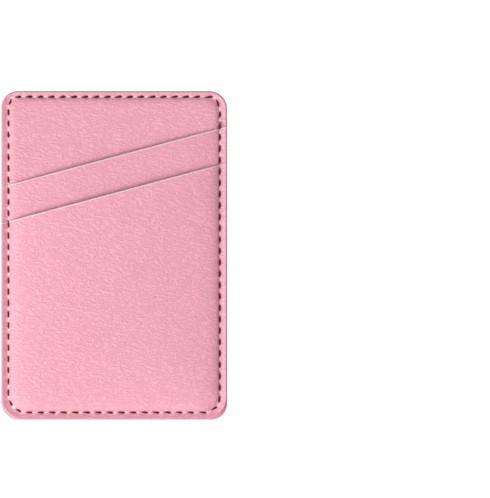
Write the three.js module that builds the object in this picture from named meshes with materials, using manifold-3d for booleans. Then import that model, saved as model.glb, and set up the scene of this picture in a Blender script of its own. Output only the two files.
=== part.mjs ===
// A card holder that sticks to the back of a phone. Soft synthetic leather sheets lie over a
// stiff board and are sewn together near their edge, with an adhesive sheet behind them.
// Sizes are in millimetres. The holder lies on its back: +X is its right side, +Y its open
// end, +Z the way its front faces. The origin is the centre of the back, at the surface on
// which the holder lies.

import * as THREE from "three";
import { mergeGeometries, mergeVertices } from "three/addons/utils/BufferGeometryUtils.js";
import Module from "manifold-3d";

const wasm = await Module();
wasm.setup();

// The holder's outline, which is the back panel's.
const HOLDER_WIDTH = 66;
const HOLDER_HEIGHT = 96;
const BACK_CORNER_RADIUS = 4.8;

// The layers in front of the back panel are a little smaller, and rounder at the bottom, so
// the back panel shows as a thin rim that widens at its lower corners.
const FRONT_INSET = 0.25;
const FRONT_TOP_RADIUS = 4.7;
const FRONT_BOTTOM_RADIUS = 6.4;
const EDGE_ROLL_HEIGHT = 0.2;
const EDGE_ROLL_WIDTH = 0.25;

// Thickness of each material, and the room in a slot for a plastic card and a folded note.
const LEATHER = 0.6;
const BOARD = 0.5;
const ADHESIVE = 0.25;
const LINER = 0.12;
const CARD_SLOT = 1.2;

// The seam's distance from the holder's edge, and its corners.
const SEAM_SIDE = 2.2;
const SEAM_TOP = 1.7;
const SEAM_BOTTOM = 2.3;
const SEAM_TOP_RADIUS = 1.7;
const SEAM_BOTTOM_RADIUS = 4;

// The raised field of a sheet starts inside the seam and swells up over a shoulder.
const FIELD_GAP = 0.4;
const FIELD_TOP_RADIUS = 3.6;
const FIELD_BOTTOM_RADIUS = 5;
const POCKET_SHOULDER = 3.6;
const POCKET_SWELL = 2.2;
const BOARD_SHOULDER = 1.2;

// The cut edges of the two pockets slant upwards to the right. Each height is taken at the
// middle of the holder, from its lower edge.
const REAR_MOUTH_HEIGHT = 76.9;
const FRONT_MOUTH_HEIGHT = 66.3;
const MOUTH_ANGLE = THREE.MathUtils.degToRad(15);

// The lockstitch. The needle's thread is in front and the finer bobbin thread behind. They
// start and end in one needle hole high on the right side.
const STITCH_PITCH = 3.3;
const SEAM_START_FROM_TOP = 9.65;
const NEEDLE_THREAD = 0.5;
const BOBBIN_THREAD = 0.3;
const THREAD_CLEARANCE = 0.02;
const STITCH_ARCH = 0.07;
const STITCH_END_GAP = 0.12;
const HOLE_LENGTH = 1.2;
const HOLE_SIDE_ROOM = 0.06;
const HOLE_FLOOR = 0.1;

// The adhesive sheet lies inside the stitches, and its liner stands out a little to be peeled.
const ADHESIVE_GAP = 0.9;
const ADHESIVE_CORNER_RADIUS = 3;
const LINER_OVERHANG = 0.3;
const BOARD_GAP = 0.05;

// Fineness of the round stretches.
const CORNER_STEPS = 6;
const SHOULDER_STEPS = [0.15, 0.35, 0.62, 1];
const BOARD_SHOULDER_STEPS = [1 / 3, 2 / 3, 1];

// Heights of the stack in its sewn margin, from the liner up.
const BACK_Z = LINER + ADHESIVE;
const TOP_PANEL_Z = BACK_Z + LEATHER;
const REAR_POCKET_Z = TOP_PANEL_Z + LEATHER;
const FRONT_POCKET_Z = REAR_POCKET_Z + LEATHER;
const FRONT_FACE_Z = FRONT_POCKET_Z + LEATHER;

// How far each raised field stands above its own margin.
const TOP_PANEL_RISE = BOARD + BOARD_GAP;
const REAR_POCKET_RISE = TOP_PANEL_RISE + CARD_SLOT;
const FRONT_POCKET_RISE = REAR_POCKET_RISE + CARD_SLOT;

const LEATHER_PINK = { color: "#f0a9bb", roughness: 0.55, metalness: 0 };
const LEATHER_INSIDE = { color: "#eba3b5", roughness: 0.6, metalness: 0 };
const THREAD_MAROON = { color: "#6d1526", roughness: 0.7, metalness: 0 };
const BOARD_GREY = { color: "#8f8478", roughness: 0.9, metalness: 0 };
const ADHESIVE_WHITE = { color: "#ecebe6", roughness: 0.4, metalness: 0 };
const LINER_PAPER = { color: "#f4f1e8", roughness: 0.5, metalness: 0 };

// An edge is a rectangle with round corners, placed by its four sides.
const backEdge = {
  side: HOLDER_WIDTH / 2,
  bottom: -HOLDER_HEIGHT / 2,
  top: HOLDER_HEIGHT / 2,
  bottomRadius: BACK_CORNER_RADIUS,
  topRadius: BACK_CORNER_RADIUS,
};

function inside(edge, gap, bottomRadius, topRadius) {
  return {
    side: edge.side - gap,
    bottom: edge.bottom + gap,
    top: edge.top - gap,
    bottomRadius,
    topRadius,
  };
}

const frontEdge = inside(backEdge, FRONT_INSET, FRONT_BOTTOM_RADIUS, FRONT_TOP_RADIUS);

const seamEdge = {
  side: backEdge.side - SEAM_SIDE,
  bottom: backEdge.bottom + SEAM_BOTTOM,
  top: backEdge.top - SEAM_TOP,
  bottomRadius: SEAM_BOTTOM_RADIUS,
  topRadius: SEAM_TOP_RADIUS,
};

const fieldEdge = inside(seamEdge, FIELD_GAP, FIELD_BOTTOM_RADIUS, FIELD_TOP_RADIUS);
const adhesiveEdge = inside(seamEdge, ADHESIVE_GAP, ADHESIVE_CORNER_RADIUS, ADHESIVE_CORNER_RADIUS);
const linerEdge = inside(adhesiveEdge, -LINER_OVERHANG, ADHESIVE_CORNER_RADIUS, ADHESIVE_CORNER_RADIUS);
const boardEdge = inside(
  fieldEdge,
  BOARD_SHOULDER + BOARD_GAP,
  FIELD_BOTTOM_RADIUS,
  FIELD_TOP_RADIUS,
);

// The edge as a closed path, counterclockwise from a point on its right side.
function pathRound(edge, startY) {
  const { side, bottom, top, bottomRadius, topRadius } = edge;
  const quarter = Math.PI / 2;
  const path = new THREE.Shape();
  path.moveTo(side, startY);
  path.lineTo(side, top - topRadius);
  path.absarc(side - topRadius, top - topRadius, topRadius, 0, quarter, false);
  path.absarc(-side + topRadius, top - topRadius, topRadius, quarter, 2 * quarter, false);
  path.absarc(-side + bottomRadius, bottom + bottomRadius, bottomRadius, 2 * quarter, 3 * quarter, false);
  path.absarc(side - bottomRadius, bottom + bottomRadius, bottomRadius, -quarter, 0, false);
  path.lineTo(side, startY);
  return path;
}

// One ring of points at a height, with the same number of points for every edge.
function ring(edge, z) {
  const points = pathRound(edge, 0).getPoints(CORNER_STEPS / 2);
  return points.slice(1, -1).map((p) => new THREE.Vector3(p.x, p.y, z));
}

// A closed surface through rings that each run counterclockwise round the way that they
// follow one another, with a flat cap on the first and on the last.
function loft(rings) {
  const count = rings[0].length;
  const faces = [];
  for (let r = 0; r + 1 < rings.length; r++) {
    for (let j = 0; j < count; j++) {
      const a = r * count + j;
      const b = r * count + ((j + 1) % count);
      faces.push(a, b, b + count, a, b + count, a + count);
    }
  }
  const last = (rings.length - 1) * count;
  for (let j = 1; j + 1 < count; j++) {
    faces.push(0, j + 1, j);
    faces.push(last, last + j, last + j + 1);
  }
  const geometry = new THREE.BufferGeometry();
  geometry.setFromPoints(rings.flat());
  geometry.setIndex(faces);
  return geometry;
}

// A flat sheet with square edges.
function plate(edge, z, thickness) {
  const outline = pathRound(edge, 0);
  const settings = { depth: thickness, bevelEnabled: false, curveSegments: CORNER_STEPS / 2 };
  return new THREE.ExtrudeGeometry(outline, settings).translate(0, 0, z);
}

// A leather sheet whose upper edge is rolled over. Inside the seam it can swell up into a
// raised field: each step is a share of the shoulder's width with its share of the rise.
function leatherSheet(edge, z, rise = 0, shoulder = 0, steps = []) {
  const field = [{ gap: 0, height: 0 }].concat(
    steps.map(({ share, swell }) => ({ gap: share * shoulder, height: swell * rise })),
  );
  const fieldRings = (base) =>
    field.map(({ gap, height }) =>
      ring(inside(fieldEdge, gap, FIELD_BOTTOM_RADIUS, FIELD_TOP_RADIUS), base + height),
    );
  const top = z + LEATHER;
  const rolled = inside(edge, EDGE_ROLL_WIDTH, edge.bottomRadius, edge.topRadius);
  return loft([
    ...fieldRings(z).reverse(),
    ring(edge, z),
    ring(edge, top - EDGE_ROLL_HEIGHT),
    ring(rolled, top),
    ...fieldRings(top),
  ]);
}

// A pocket swells like a pillow, steeply at the seam and ever flatter inwards.
const pillow = SHOULDER_STEPS.map((share) => ({
  share,
  swell: 1 - (1 - share) ** POCKET_SWELL,
}));

// Over the board the sheet bends up and then flat again.
const boardBend = BOARD_SHOULDER_STEPS.map((share) => ({
  share,
  swell: share * share * (3 - 2 * share),
}));

// Height of a pocket's cut edge above the middle of the holder, at x.
function mouthY(height, x) {
  return backEdge.bottom + height + x * Math.tan(MOUTH_ANGLE);
}

function solid(geometry) {
  const bare = geometry.clone();
  bare.deleteAttribute("normal");
  bare.deleteAttribute("uv");
  const merged = mergeVertices(bare);
  return new wasm.Manifold(
    new wasm.Mesh({
      numProp: 3,
      vertProperties: merged.attributes.position.array,
      triVerts: new Uint32Array(merged.index.array),
    }),
  );
}

function geometryOf(body) {
  const { numProp, vertProperties, triVerts } = body.getMesh();
  const count = vertProperties.length / numProp;
  const positions = new Float32Array(count * 3);
  for (let i = 0; i < count; i++) {
    positions.set(vertProperties.subarray(i * numProp, i * numProp + 3), i * 3);
  }
  const geometry = new THREE.BufferGeometry();
  geometry.setAttribute("position", new THREE.BufferAttribute(positions, 3));
  geometry.setIndex(new THREE.BufferAttribute(triVerts, 1));
  return geometry;
}

// The block of space above a pocket's cut edge.
function aboveMouth(height) {
  const reach = 2 * (HOLDER_WIDTH + HOLDER_HEIGHT);
  return new THREE.BoxGeometry(reach, reach, reach)
    .translate(0, reach / 2, 0)
    .rotateZ(MOUTH_ANGLE)
    .translate(0, mouthY(height, 0), 0);
}

// The needle holes, evenly spaced along the seam, each with the way of the stitch that
// comes in and of the one that goes out.
function needleHoles() {
  const path = pathRound(seamEdge, backEdge.top - SEAM_START_FROM_TOP);
  const count = Math.round(path.getLength() / STITCH_PITCH);
  const places = path.getSpacedPoints(count).slice(0, count);
  return places.map((at, i) => {
    const before = places[(i + count - 1) % count];
    const after = places[(i + 1) % count];
    const arrives = at.clone().sub(before).normalize();
    const leaves = after.clone().sub(at).normalize();
    const along = arrives.clone().add(leaves).normalize();
    const turn = Math.acos(THREE.MathUtils.clamp(arrives.dot(leaves), -1, 1));
    return { at, leaves, along, turn, toNext: at.distanceTo(after) };
  });
}

const holes = needleHoles();

// Height of the sewn margin's face at a point, in front.
function marginTop({ x, y }) {
  if (y < mouthY(FRONT_MOUTH_HEIGHT, x)) return FRONT_FACE_Z;
  if (y < mouthY(REAR_MOUTH_HEIGHT, x)) return FRONT_POCKET_Z;
  return REAR_POCKET_Z;
}

// Where a stitch crosses a pocket's cut edge it bridges the step, so it takes the highest
// face within reach along the seam.
function bridgedTop(point, along) {
  const reach = STITCH_PITCH / 3;
  const near = [-reach, 0, reach].map((s) => point.clone().addScaledVector(along, s));
  return Math.max(...near.map(marginTop));
}

// Half the height of a thread's section, which lies on a flat side.
const halfHeight = (thread, sides) => (thread / 2) * Math.cos(Math.PI / sides);

// One thread, as the stitches in front, with outwards 1, or behind, with outwards -1. It is
// straight from hole to hole, arches a little on the leather, and dives into each hole.
function strand(thread, sides, faceAt, outwards) {
  const lie = halfHeight(thread, sides) + THREAD_CLEARANCE;
  const dive = LEATHER - HOLE_FLOOR - lie;
  const rim = HOLE_LENGTH / 2 + THREAD_CLEARANCE;
  const stations = [];
  const add = (point, along, height, face = faceAt(point, along)) => {
    stations.push({ point, along, z: face + outwards * height });
  };
  holes.forEach(({ at, leaves, along, toNext }, i) => {
    const start = i === 0 ? STITCH_END_GAP / 2 : 0;
    add(at.clone().addScaledVector(leaves, start), along, -dive, faceAt(at, along));
    add(at.clone().addScaledVector(leaves, rim), leaves, lie);
    add(at.clone().addScaledVector(leaves, toNext / 2), leaves, lie + STITCH_ARCH);
    add(at.clone().addScaledVector(leaves, toNext - rim), leaves, lie);
  });
  const { at, leaves, along } = holes[0];
  const end = at.clone().addScaledVector(leaves, -STITCH_END_GAP / 2);
  add(end, along, -dive, faceAt(at, along));
  return loft(stations.map((station) => section(station, thread, sides)));
}

// A section of the thread, upright across its way, lying on a flat side.
function section({ point, along, z }, thread, sides) {
  const across = new THREE.Vector3(-along.y, along.x, 0);
  const centre = new THREE.Vector3(point.x, point.y, z);
  return Array.from({ length: sides }, (_, i) => {
    const angle = ((2 * i + 1) * Math.PI) / sides - Math.PI / 2;
    const corner = centre.clone().addScaledVector(across, (thread / 2) * Math.cos(angle));
    corner.z += (thread / 2) * Math.sin(angle);
    return corner;
  });
}

// The blind needle holes in one face, wider where the seam turns a corner.
function holeBlocks(thread, faceZ, among) {
  const depth = LEATHER - HOLE_FLOOR;
  const blocks = among.map(({ at, along, turn }) => {
    const swing = HOLE_LENGTH * Math.sin(turn / 2);
    const width = thread + 2 * HOLE_SIDE_ROOM + swing;
    return new THREE.BoxGeometry(HOLE_LENGTH, width, 2 * depth)
      .rotateZ(Math.atan2(along.y, along.x))
      .translate(at.x, at.y, faceZ);
  });
  return solid(mergeGeometries(blocks));
}

function punched(geometry, thread, faceZ, among) {
  const body = solid(geometry);
  return among.length ? body.subtract(holeBlocks(thread, faceZ, among)) : body;
}

// A hole beside a cut edge belongs to the higher face, as its stitch does.
const holesIn = (faceZ) => holes.filter(({ at, along }) => bridgedTop(at, along) === faceZ);

function releaseLiner() {
  return plate(linerEdge, 0, LINER);
}

function adhesiveSheet() {
  return plate(adhesiveEdge, LINER, ADHESIVE);
}

function backPanel() {
  const sheet = leatherSheet(backEdge, BACK_Z);
  return geometryOf(punched(sheet, BOBBIN_THREAD, BACK_Z, holes));
}

function stiffenerBoard() {
  return plate(boardEdge, TOP_PANEL_Z, BOARD);
}

function topPanel() {
  const sheet = leatherSheet(frontEdge, TOP_PANEL_Z, TOP_PANEL_RISE, BOARD_SHOULDER, boardBend);
  return geometryOf(punched(sheet, NEEDLE_THREAD, REAR_POCKET_Z, holesIn(REAR_POCKET_Z)));
}

function pocket(z, rise, mouthHeight) {
  const sheet = leatherSheet(frontEdge, z, rise, POCKET_SHOULDER, pillow);
  const faceZ = z + LEATHER;
  const cut = punched(sheet, NEEDLE_THREAD, faceZ, holesIn(faceZ));
  return geometryOf(cut.subtract(solid(aboveMouth(mouthHeight))));
}

function needleThread() {
  return strand(NEEDLE_THREAD, 6, bridgedTop, 1);
}

function bobbinThread() {
  return strand(BOBBIN_THREAD, 4, () => BACK_Z, -1);
}

const holder = new THREE.Group();

function piece(name, geometry, finish) {
  const mesh = new THREE.Mesh(geometry, new THREE.MeshStandardMaterial(finish));
  mesh.name = name;
  holder.add(mesh);
}

piece("release_liner", releaseLiner(), LINER_PAPER);
piece("adhesive_sheet", adhesiveSheet(), ADHESIVE_WHITE);
piece("back_panel", backPanel(), LEATHER_PINK);
piece("stiffener_board", stiffenerBoard(), BOARD_GREY);
piece("top_panel", topPanel(), LEATHER_INSIDE);
piece("rear_pocket", pocket(REAR_POCKET_Z, REAR_POCKET_RISE, REAR_MOUTH_HEIGHT), LEATHER_PINK);
piece("front_pocket", pocket(FRONT_POCKET_Z, FRONT_POCKET_RISE, FRONT_MOUTH_HEIGHT), LEATHER_PINK);
piece("needle_thread", needleThread(), THREAD_MAROON);
piece("bobbin_thread", bobbinThread(), THREAD_MAROON);

export default holder;
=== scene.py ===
# %% [markdown]
# # A stick-on card holder in soft pink leather
# The object is a flat pouch of thin synthetic leather sheets, sewn together near their edge.
# Two of the sheets are pockets with a slanted cut edge. The construction comes from a fixed
# frame that is loaded first. This script gives every sheet its pillow shape, its rolled
# edges, its stitches and its surface.
#
# Plan sizes are written in millimetres, because they are small, and become metres when a
# mesh is made.

import math

import bmesh
import bpy
import numpy as np
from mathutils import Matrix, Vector


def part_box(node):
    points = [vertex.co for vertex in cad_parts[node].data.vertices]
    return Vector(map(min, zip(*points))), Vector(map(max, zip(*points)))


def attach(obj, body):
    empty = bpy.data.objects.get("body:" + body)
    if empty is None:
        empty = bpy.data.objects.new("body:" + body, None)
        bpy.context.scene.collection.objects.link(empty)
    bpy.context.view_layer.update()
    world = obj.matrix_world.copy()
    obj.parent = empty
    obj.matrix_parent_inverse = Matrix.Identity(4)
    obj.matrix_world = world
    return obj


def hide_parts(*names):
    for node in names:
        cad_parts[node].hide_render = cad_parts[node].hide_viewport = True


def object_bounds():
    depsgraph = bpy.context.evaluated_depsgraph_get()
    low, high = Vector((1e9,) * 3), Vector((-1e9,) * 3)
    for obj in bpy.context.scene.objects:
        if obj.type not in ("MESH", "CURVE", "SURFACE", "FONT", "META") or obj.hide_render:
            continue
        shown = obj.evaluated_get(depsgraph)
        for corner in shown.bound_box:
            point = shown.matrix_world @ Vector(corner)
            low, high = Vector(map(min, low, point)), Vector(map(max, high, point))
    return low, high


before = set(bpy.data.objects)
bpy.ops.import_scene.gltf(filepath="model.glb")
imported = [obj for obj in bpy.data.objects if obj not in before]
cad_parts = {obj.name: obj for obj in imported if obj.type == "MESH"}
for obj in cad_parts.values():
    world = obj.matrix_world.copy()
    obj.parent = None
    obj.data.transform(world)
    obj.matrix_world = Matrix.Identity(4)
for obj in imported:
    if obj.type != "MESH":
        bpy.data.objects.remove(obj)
cad_low, cad_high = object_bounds()
MM = 0.001
print("frame box in mm:", [round(c / MM, 2) for c in (*cad_low, *cad_high)])


# %% [markdown]
# ## The camera
# The photograph looks straight at the holder, with no visible perspective, so the camera is
# orthographic and looks straight down on it. The holder isn't in the middle of the picture.
# The camera is moved sideways to get that, instead of shifting its lens.

# %% Camera
PHOTO_SIZE = (490, 498)
HOLDER_PIXELS = ((1.05, 227.15), (90.9, 420.1))  # left and right, then top and bottom
holder_width = (cad_high.x - cad_low.x) / MM
mm_per_pixel = holder_width / (HOLDER_PIXELS[0][1] - HOLDER_PIXELS[0][0])


def photo_to_mm(px, py):
    """A point of the photograph as a place in front of the holder, in millimetres."""
    (left, right), (top, bottom) = HOLDER_PIXELS
    return (px - (left + right) / 2) * mm_per_pixel, ((top + bottom) / 2 - py) * mm_per_pixel


CAMERA_HEIGHT = 0.5  # in metres

camera_data = bpy.data.cameras.new("camera")
camera_data.type = "ORTHO"
camera_data.ortho_scale = max(PHOTO_SIZE) * mm_per_pixel * MM
camera = bpy.data.objects.new("camera", camera_data)
centre_x, centre_y = photo_to_mm(PHOTO_SIZE[0] / 2, PHOTO_SIZE[1] / 2)
camera.location = (centre_x * MM, centre_y * MM, CAMERA_HEIGHT)
bpy.context.collection.objects.link(camera)
bpy.context.scene.camera = camera
print("one pixel is", round(mm_per_pixel, 4), "mm")


# %% [markdown]
# ## Light and background
# The photograph has one broad soft light from the lower left and plenty of bounce. It shows
# in the bright left flank of the pillow, the darker right flank, and the soft shadows above
# both slanted edges. The light is an area lamp, and the world is a little brighter on the
# same side. The floor is pale, keeps the holder's shadow, and is lifted to white for the
# camera and for reflections only.

# %% Light, world and floor
bpy.context.scene.view_settings.view_transform = "Standard"

KEY_FROM = Vector((-0.43, -0.31, 0.48))  # place in metres; the lamp looks at the holder
KEY_POWER = 4.5
KEY_SIZE = 0.50
WORLD_LEVEL = 0.57
WORLD_FROM = Vector((-0.80, -0.42, 0.35)).normalized()
WORLD_SIDE = 0.65  # how much brighter the world is where it faces the light's side
WHITE = (1, 1, 1, 1)

key_data = bpy.data.lights.new("key_light", "AREA")
key_data.shape = "DISK"
key_data.size = KEY_SIZE
key_data.energy = KEY_POWER
key = bpy.data.objects.new("key_light", key_data)
key.location = KEY_FROM
key.rotation_euler = (-KEY_FROM).to_track_quat("-Z", "Y").to_euler()
bpy.context.collection.objects.link(key)


def new_node(tree, kind, **values):
    """Adds a node, sets its own settings by name, and its unlinked inputs by socket name."""
    node = tree.nodes.new(kind)
    for name, value in values.items():
        if hasattr(node, name):
            setattr(node, name, value)
        else:
            node.inputs[name.replace("_", " ")].default_value = value
    return node


def backdrop_factor(tree):
    """1 where the camera, a reflection or a clear surface looks, 0 for the light itself."""
    path = tree.nodes.new("ShaderNodeLightPath")
    glossy = new_node(tree, "ShaderNodeMath", operation="MAXIMUM")
    clear = new_node(tree, "ShaderNodeMath", operation="MAXIMUM")
    tree.links.new(path.outputs["Is Camera Ray"], glossy.inputs[0])
    tree.links.new(path.outputs["Is Glossy Ray"], glossy.inputs[1])
    tree.links.new(glossy.outputs[0], clear.inputs[0])
    tree.links.new(path.outputs["Is Transmission Ray"], clear.inputs[1])
    return clear.outputs[0]


world = bpy.data.worlds.new("studio")
bpy.context.scene.world = world
world.use_nodes = True
air = world.node_tree
air.nodes.clear()
light_air = new_node(air, "ShaderNodeBackground", Color=WHITE)
white_air = new_node(air, "ShaderNodeBackground", Color=WHITE, Strength=1.0)
direction = air.nodes.new("ShaderNodeTexCoord")
facing = new_node(air, "ShaderNodeVectorMath", operation="DOT_PRODUCT")
facing.inputs[1].default_value = WORLD_FROM
air.links.new(direction.outputs["Generated"], facing.inputs[0])
uneven = new_node(air, "ShaderNodeMath", operation="MULTIPLY_ADD")
air.links.new(facing.outputs["Value"], uneven.inputs[0])
uneven.inputs[1].default_value = WORLD_SIDE * WORLD_LEVEL
uneven.inputs[2].default_value = WORLD_LEVEL
air.links.new(uneven.outputs[0], light_air.inputs["Strength"])
choose_air = new_node(air, "ShaderNodeMixShader")
world_out = new_node(air, "ShaderNodeOutputWorld")
air.links.new(backdrop_factor(air), choose_air.inputs[0])
air.links.new(light_air.outputs[0], choose_air.inputs[1])
air.links.new(white_air.outputs[0], choose_air.inputs[2])
air.links.new(choose_air.outputs[0], world_out.inputs[0])

FLOOR_HALF = 0.6
FLOOR_Z = -0.02 * MM  # just below the release liner, so that the two don't fight
FLOOR_GREY = (0.9, 0.9, 0.9, 1)
FLOOR_LIFT = 0.90
floor_mesh = bpy.data.meshes.new("floor")
floor_corners = [(x * FLOOR_HALF, y * FLOOR_HALF, FLOOR_Z) for x, y in ((-1, -1), (1, -1), (1, 1), (-1, 1))]
floor_mesh.from_pydata(floor_corners, [], [(0, 1, 2, 3)])
floor = bpy.data.objects.new("floor", floor_mesh)
bpy.context.collection.objects.link(floor)
floor_paint = bpy.data.materials.new("floor_paint")
floor_paint.use_nodes = True
floor_tree = floor_paint.node_tree
floor_tree.nodes.clear()
matte = new_node(floor_tree, "ShaderNodeBsdfDiffuse", Color=FLOOR_GREY)
lift = new_node(floor_tree, "ShaderNodeEmission", Color=WHITE, Strength=FLOOR_LIFT)
lifted = new_node(floor_tree, "ShaderNodeAddShader")
choose_floor = new_node(floor_tree, "ShaderNodeMixShader")
floor_out = new_node(floor_tree, "ShaderNodeOutputMaterial")
floor_tree.links.new(matte.outputs[0], lifted.inputs[0])
floor_tree.links.new(lift.outputs[0], lifted.inputs[1])
floor_tree.links.new(backdrop_factor(floor_tree), choose_floor.inputs[0])
floor_tree.links.new(matte.outputs[0], choose_floor.inputs[1])
floor_tree.links.new(lifted.outputs[0], choose_floor.inputs[2])
floor_tree.links.new(choose_floor.outputs[0], floor_out.inputs[0])
floor_mesh.materials.append(floor_paint)
print("key light", KEY_POWER, "W, world", WORLD_LEVEL)


# %% [markdown]
# ## Leather grain
# The leather has shallow pebbles of well under a millimetre and a few longer creases. Both
# are far too fine for the mesh, so they are a height for a Bump node. Several materials use
# them, so they are one node group with its sizes as inputs. The group works in millimetres,
# because a noise scale is easier to read that way.

# %% Shader group: leather grain
def group_with(name, inputs, outputs):
    """A shader node group with the given sockets: name, type and default value."""
    group = bpy.data.node_groups.new(name, "ShaderNodeTree")
    for socket, kind, default in inputs:
        made = group.interface.new_socket(socket, in_out="INPUT", socket_type=kind)
        if default is not None:
            made.default_value = default
    for socket, kind in outputs:
        group.interface.new_socket(socket, in_out="OUTPUT", socket_type=kind)
    return group, group.nodes.new("NodeGroupInput"), group.nodes.new("NodeGroupOutput")


FLOAT, VECTOR = "NodeSocketFloat", "NodeSocketVector"


def math_node(tree, operation, a, b=None, c=None):
    """One Math node. Each operand is an output socket or a number."""
    node = new_node(tree, "ShaderNodeMath", operation=operation)
    for i, value in enumerate((a, b, c)):
        if value is None:
            continue
        if isinstance(value, (int, float)):
            node.inputs[i].default_value = value
        else:
            tree.links.new(value, node.inputs[i])
    return node.outputs[0]


CREASE_STRETCH = (0.55, 1.25, 1.0)
CREASE_TURN = math.radians(24)
CREASE_SHARPNESS = 7.0


def leather_grain():
    """Height of pebbles and creases, the valleys of the creases (the mask for painted shade in them), and a
    slow change of tone.
    """
    tree, given, result = group_with(
        "leather_grain",
        [
            ("Vector", VECTOR, None),
            ("Pebble mm", FLOAT, 0.7),
            ("Crease mm", FLOAT, 2.2),
            ("Crease share", FLOAT, 0.5),
        ],
        [("Height", FLOAT), ("Valley", FLOAT), ("Tone", FLOAT)],
    )
    in_mm = new_node(tree, "ShaderNodeVectorMath", operation="SCALE", Scale=1 / MM)
    tree.links.new(given.outputs["Vector"], in_mm.inputs[0])
    wander = new_node(tree, "ShaderNodeTexNoise", Scale=0.9, Detail=2.0)
    tree.links.new(in_mm.outputs[0], wander.inputs["Vector"])
    pushed = new_node(tree, "ShaderNodeVectorMath", operation="MULTIPLY_ADD")
    pushed.inputs[1].default_value = (0.5, 0.5, 0.5)
    tree.links.new(wander.outputs["Color"], pushed.inputs[0])
    tree.links.new(in_mm.outputs[0], pushed.inputs[2])
    pebbles = new_node(tree, "ShaderNodeTexVoronoi", feature="SMOOTH_F1", Smoothness=0.6)
    tree.links.new(pushed.outputs[0], pebbles.inputs["Vector"])
    tree.links.new(math_node(tree, "DIVIDE", 1.0, given.outputs["Pebble mm"]), pebbles.inputs["Scale"])
    stretched = new_node(tree, "ShaderNodeMapping")
    stretched.inputs["Scale"].default_value = CREASE_STRETCH
    stretched.inputs["Rotation"].default_value = (0, 0, CREASE_TURN)
    tree.links.new(pushed.outputs[0], stretched.inputs["Vector"])
    creases = new_node(tree, "ShaderNodeTexNoise", Detail=3.0, Roughness=0.55)
    tree.links.new(stretched.outputs[0], creases.inputs["Vector"])
    tree.links.new(math_node(tree, "DIVIDE", 1.0, given.outputs["Crease mm"]), creases.inputs["Scale"])
    ridge = math_node(tree, "ABSOLUTE", math_node(tree, "SUBTRACT", creases.outputs["Fac"], 0.5))
    fold = math_node(tree, "MINIMUM", math_node(tree, "MULTIPLY", ridge, CREASE_SHARPNESS), 1.0)
    dome = math_node(tree, "SUBTRACT", 1.0, pebbles.outputs["Distance"])
    mixed = new_node(tree, "ShaderNodeMix", data_type="FLOAT")
    tree.links.new(given.outputs["Crease share"], mixed.inputs["Factor"])
    tree.links.new(dome, mixed.inputs["A"])
    tree.links.new(fold, mixed.inputs["B"])
    tree.links.new(mixed.outputs["Result"], result.inputs["Height"])
    tree.links.new(math_node(tree, "SUBTRACT", 1.0, fold), result.inputs["Valley"])
    cloud = new_node(tree, "ShaderNodeTexNoise", Scale=0.22, Detail=4.0, Roughness=0.6)
    tree.links.new(in_mm.outputs[0], cloud.inputs["Vector"])
    tree.links.new(cloud.outputs["Fac"], result.inputs["Tone"])
    return tree


GRAIN = leather_grain()
print("group", GRAIN.name, "with", len(GRAIN.nodes), "nodes")


# %% [markdown]
# ## What the stitches do to the leather
# Each stitch presses a short groove, and the groove is painted a little darker: painted shade.
# The leather between two stitches is stretched, and its pink coat goes pale there; the pale
# spot is also a painted highlight, for the light that the tented leather catches. The sheets
# get a UV map that follows the seam: U counts stitches along it and V is the distance from it
# in millimetres. A small group turns that map into two masks, so the marks stay beside their
# own stitches.

# %% Shader group: marks along the seam
def squared(tree, value):
    return math_node(tree, "POWER", value, 2.0)


def fading(tree, value):
    """1 at zero, and less the larger the value is."""
    return math_node(tree, "EXPONENT", math_node(tree, "MULTIPLY", value, -1.0))


def seam_marks():
    """A pale spot between each two stitches, stretched coat and painted highlight, and a line of painted
    shade along the groove through all of them.
    """
    tree, given, result = group_with(
        "seam_marks",
        [("Stitches", VECTOR, None), ("Mark length", FLOAT, 0.17), ("Mark width mm", FLOAT, 0.32)],
        [("Stretch_and_highlight", FLOAT), ("Groove_shade", FLOAT)],
    )
    parts = tree.nodes.new("ShaderNodeSeparateXYZ")
    tree.links.new(given.outputs["Stitches"], parts.inputs[0])
    shifted = math_node(tree, "FRACT", math_node(tree, "ADD", parts.outputs["X"], 0.5))
    from_hole = math_node(tree, "ABSOLUTE", math_node(tree, "SUBTRACT", shifted, 0.5))
    from_seam = math_node(tree, "ABSOLUTE", parts.outputs["Y"])
    along = math_node(tree, "DIVIDE", from_hole, given.outputs["Mark length"])
    across = math_node(tree, "DIVIDE", from_seam, given.outputs["Mark width mm"])
    spread = math_node(tree, "ADD", squared(tree, along), squared(tree, across))
    # The pale spot: the coat's paling where it is stretched, and a painted highlight.
    stretched = fading(tree, spread)
    tree.links.new(stretched, result.inputs["Stretch_and_highlight"])
    # Painted shade along the groove, except at the pale spots.
    near = fading(tree, squared(tree, across))
    pressed = math_node(tree, "MULTIPLY", near, math_node(tree, "SUBTRACT", 1.0, stretched))
    tree.links.new(pressed, result.inputs["Groove_shade"])
    return tree


SEAM_MARKS = seam_marks()
print("group", SEAM_MARKS.name, "with", len(SEAM_MARKS.nodes), "nodes")


# %% [markdown]
# ## The leather material
# Synthetic leather is a tinted plastic coat with a satin shine. Its colour hardly changes,
# so most of its life comes from the height of the grain, from a little more shine on the
# tops of the pebbles, and from the marks along the seam. The crease valleys and the seam's
# groove are painted darker as painted shade, and the pale spots between the stitches are
# partly a painted highlight.

# %% Materials: leather, its raw edge and its backing
def colour_mix(tree, factor, a, b):
    """One colour Mix node. Each operand is an output socket or a value."""
    node = new_node(tree, "ShaderNodeMix", data_type="RGBA", clamp_factor=True)
    for socket, value in zip((node.inputs[0], node.inputs[6], node.inputs[7]), (factor, a, b)):
        if isinstance(value, bpy.types.NodeSocket):
            tree.links.new(value, socket)
        else:
            socket.default_value = value
    return node.outputs[2]


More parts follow.
